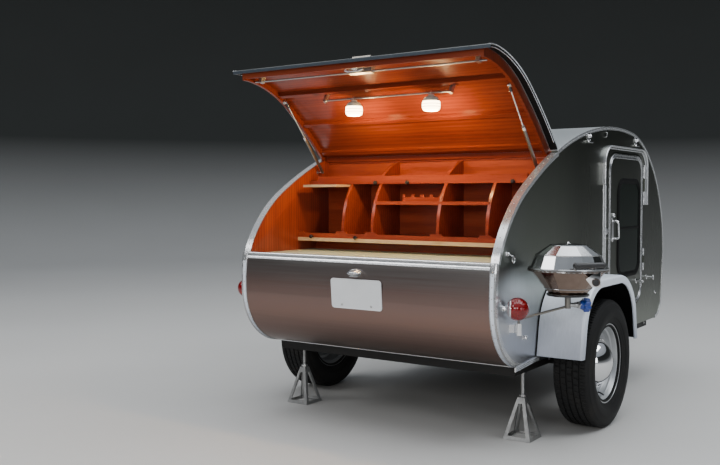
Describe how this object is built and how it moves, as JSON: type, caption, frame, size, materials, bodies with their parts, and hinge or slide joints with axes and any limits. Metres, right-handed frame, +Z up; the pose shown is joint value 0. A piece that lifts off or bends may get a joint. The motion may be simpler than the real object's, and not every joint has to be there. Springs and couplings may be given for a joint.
{
  "type": "teardrop camping trailer",
  "caption": "Aluminium teardrop trailer with a rear galley under a lifting hatch, side doors, fenders, tongue jack, corner stands and a swing-arm side grill.",
  "frame": {"origin": "centre of the towing ball in the coupler's socket", "axes": "+X forward to the tow vehicle, +Y left, +Z up"},
  "size_m": [3.7253, 2.1879, 1.8981],
  "materials": {
    "roof_metal": "satin",
    "wall_metal": "brushed",
    "bright_trim": "polished",
    "galley_wood": "varnished",
    "light_wood": "satin",
    "counter_top": "satin",
    "floor_wood": "painted underneath",
    "seal": "matte",
    "chassis": "semi gloss black",
    "chrome": "polished",
    "strut_black": "gloss black",
    "steel": "satin",
    "tyre": "matte",
    "rim": "silver",
    "glass": "clear",
    "lens": "glossy",
    "plate": "gloss",
    "lantern": "gloss",
    "grill": "polished"
  },
  "bodies": {
    "trailer": {"side_wall_left": "wall_metal", "side_wall_right": "wall_metal", "roof_shell": "roof_metal", "rear_panel": "wall_metal", "edge_trims": "bright_trim", "floor_board": "floor_wood", "bulkhead": "galley_wood", "counter": "counter_top", "cubby_unit": "galley_wood", "upper_shelf": "galley_wood", "pull_out_board": "light_wood", "galley_riser": "galley_wood", "hatch_hinge": "bright_trim", "strut_studs_low": "steel", "door_hinges": "chrome", "drip_rails": "bright_trim", "fenders": "wall_metal", "frame_rails": "chassis", "cross_members": "chassis", "tongue": "chassis", "coupler": "steel", "jack_tube": "steel", "axle": "chassis", "lamp_stalks": "chrome", "lamp_lenses": "lens", "number_plate": "plate", "number_lamp": "chrome", "stands": "steel", "grill_socket": "chrome"},
    "hatch": {"hatch_skin": "roof_metal", "hatch_seal": "seal", "hatch_lining": "galley_wood", "hatch_ribs": "galley_wood", "hatch_latch": "steel", "hatch_handle": "chrome", "strut_studs_high": "steel", "lantern_rail": "steel", "lanterns": "lantern"},
    "strut_cylinders": {"strut_cylinders": "strut_black"},
    "strut_rods": {"strut_rods": "chrome"},
    "door_left": {"door_left": "wall_metal", "window_frame_left": "seal", "window_glass_left": "glass", "door_handle_left": "chrome"},
    "door_right": {"door_right": "wall_metal", "window_frame_right": "seal", "window_glass_right": "glass", "door_handle_right": "chrome"},
    "wheel_left": {"tyre_left": "tyre", "rim_left": "rim", "hub_cap_left": "chrome"},
    "wheel_right": {"tyre_right": "tyre", "rim_right": "rim", "hub_cap_right": "chrome"},
    "jack_leg": {"jack_leg": "steel"},
    "grill": {"grill_arm": "chrome", "grill_bowl": "grill"},
    "grill_lid": {"grill_lid": "grill"}
  },
  "joints": [
    {"name": "hatch_hinge", "type": "hinge", "parent": "trailer", "child": "hatch", "pos_m": [-2.9018, 0, 0.99234], "axis": [0, -1, 0], "range_deg": [0, 66.8]},
    {"name": "strut_turn", "type": "hinge", "parent": "trailer", "child": "strut_cylinders", "pos_m": [-2.9788, 0, 0.89325], "axis": [0, -1, 0], "range_deg": [0, 74.6]},
    {"name": "strut_slide", "type": "slide", "parent": "strut_cylinders", "child": "strut_rods", "axis": [-0.6572, 0, 0.7537], "range_m": [-0.1243, 0]},
    {"name": "door_left_hinge", "type": "hinge", "parent": "trailer", "child": "door_left", "pos_m": [-1.4875, 0.769, 0.543], "axis": [0, 0, -1], "range_deg": [0, 100]},
    {"name": "door_right_hinge", "type": "hinge", "parent": "trailer", "child": "door_right", "pos_m": [-1.4875, -0.769, 0.543], "axis": [0, 0, 1], "range_deg": [0, 100]},
    {"name": "wheel_left_spin", "type": "hinge", "parent": "trailer", "child": "wheel_left", "pos_m": [-2.7, 0.886, -0.118], "axis": [0, 1, 0], "continuous": true},
    {"name": "wheel_right_spin", "type": "hinge", "parent": "trailer", "child": "wheel_right", "pos_m": [-2.7, -0.886, -0.118], "axis": [0, 1, 0], "continuous": true},
    {"name": "jack_slide", "type": "slide", "parent": "trailer", "child": "jack_leg", "axis": [0, 0, 1], "range_m": [0, 0.2]},
    {"name": "grill_swing", "type": "hinge", "parent": "trailer", "child": "grill", "pos_m": [-3.442, -0.8, 0.148], "axis": [0, 0, 1], "range_deg": [-60, 0]},
    {"name": "grill_lid_hinge", "type": "hinge", "parent": "grill", "child": "grill_lid", "pos_m": [-3.17787, -0.83445, 0.4225], "axis": [-0.766, 0.6428, 0], "range_deg": [0, 50]}
  ],
  "couplings": [
    {"joint": "strut_turn", "follows": "hatch_hinge", "ratio": 1.1158},
    {"joint": "strut_slide", "follows": "hatch_hinge", "m_per_rad": -0.10657}
  ]
}
